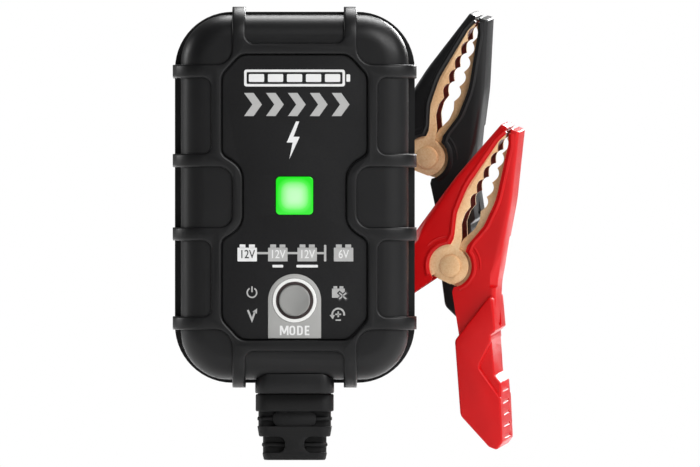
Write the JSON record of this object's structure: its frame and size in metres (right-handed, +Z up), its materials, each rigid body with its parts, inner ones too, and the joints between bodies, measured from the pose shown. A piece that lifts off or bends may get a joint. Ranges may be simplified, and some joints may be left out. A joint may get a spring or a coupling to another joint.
{
  "type": "motorcycle battery charger",
  "caption": "Plug-in motorcycle battery charger: ribbed housing, square status window, mode button, grooved cable boot and toothed spring clamps in red and black.",
  "frame": {"origin": "middle of the flat back face, where the charger meets the wall socket's plate", "axes": "+X to the right seen from the front, +Y out of the back along the mains blades, +Z up; the face with the window looks along -Y"},
  "size_m": [0.0859, 0.0705, 0.1098],
  "materials": {
    "black_plastic": "fine texture",
    "dark_rubber": "matt",
    "face_plastic": "smooth",
    "red_plastic": "satin",
    "copper_plate": "plated, satin",
    "green_lens": "lit from behind",
    "grey_plastic": "satin",
    "white_plastic": "satin",
    "clear_plastic": "clear",
    "circuit_board": "lacquered",
    "component_black": "moulded",
    "can_sleeve": "sleeve",
    "ferrite": "sintered",
    "winding_tape": "tape",
    "copper_wire": "wound wire",
    "aluminium": "extruded",
    "nickel_brass": "bright plated",
    "spring_steel": "bright wire"
  },
  "bodies": {
    "charger": {"blade_carrier": "component_black", "board_screw_1": "spring_steel", "board_screw_2": "spring_steel", "board_screw_3": "spring_steel", "board_screw_4": "spring_steel", "bridge_rectifier": "component_black", "button_ring": "white_plastic", "button_seal": "dark_rubber", "cable_boot": "dark_rubber", "cable_collar": "black_plastic", "charge_led": "white_plastic", "face_plate": "face_plastic", "filter_choke": "copper_wire", "front_housing": "black_plastic", "fuse": "nickel_brass", "heat_sink": "aluminium", "housing_gasket": "dark_rubber", "housing_screw_1": "spring_steel", "housing_screw_2": "spring_steel", "housing_screw_3": "spring_steel", "housing_screw_4": "spring_steel", "input_capacitor": "can_sleeve", "light_guide": "clear_plastic", "light_window": "green_lens", "main_board": "circuit_board", "mains_blade_left": "nickel_brass", "mains_blade_right": "nickel_brass", "microcontroller": "component_black", "mode_badge": "grey_plastic", "mode_switch": "component_black", "output_capacitor": "can_sleeve", "power_transistor": "component_black", "rear_housing": "black_plastic", "transformer_coil": "winding_tape", "transformer_core": "ferrite"},
    "mode_button": {"mode_button": "grey_plastic"},
    "red_clamp": {"red_clamp_fixed_handle": "red_plastic", "red_clamp_fixed_jaw": "copper_plate", "red_clamp_rivet": "copper_plate", "red_clamp_spring": "spring_steel"},
    "red_moving_half": {"red_clamp_moving_handle": "red_plastic", "red_clamp_moving_jaw": "copper_plate"},
    "black_clamp": {"black_clamp_fixed_handle": "black_plastic", "black_clamp_fixed_jaw": "copper_plate", "black_clamp_rivet": "copper_plate", "black_clamp_spring": "spring_steel"},
    "black_moving_half": {"black_clamp_moving_handle": "black_plastic", "black_clamp_moving_jaw": "copper_plate"}
  },
  "joints": [
    {"name": "mode_button_press", "type": "slide", "parent": "charger", "child": "mode_button", "axis": [0, 1, 0], "range_m": [0, 0.0006], "stiffness_N_per_m": 300},
    {"name": "red_clamp_pull", "type": "slide", "parent": "charger", "child": "red_clamp", "axis": [0.9799, -0.1994, 0], "range_m": [0, 0.075]},
    {"name": "red_jaw_open", "type": "hinge", "parent": "red_clamp", "child": "red_moving_half", "pos_m": [0.03875, 0.007, -0.0163], "axis": [-0.1985, -0.9754, -0.0958], "range_deg": [0, 40], "stiffness_Nm_per_rad": 0.35, "springref_deg": -34.38, "deforming": ["red_clamp_spring"]},
    {"name": "black_clamp_pull", "type": "slide", "parent": "charger", "child": "black_clamp", "axis": [0.9799, -0.1994, 0], "range_m": [0, 0.075]},
    {"name": "black_jaw_open", "type": "hinge", "parent": "black_clamp", "child": "black_moving_half", "pos_m": [0.0331, 0.0204, 0.0102], "axis": [-0.1985, -0.9754, -0.0958], "range_deg": [0, 40], "stiffness_Nm_per_rad": 0.35, "springref_deg": -34.38, "deforming": ["black_clamp_spring"]}
  ]
}
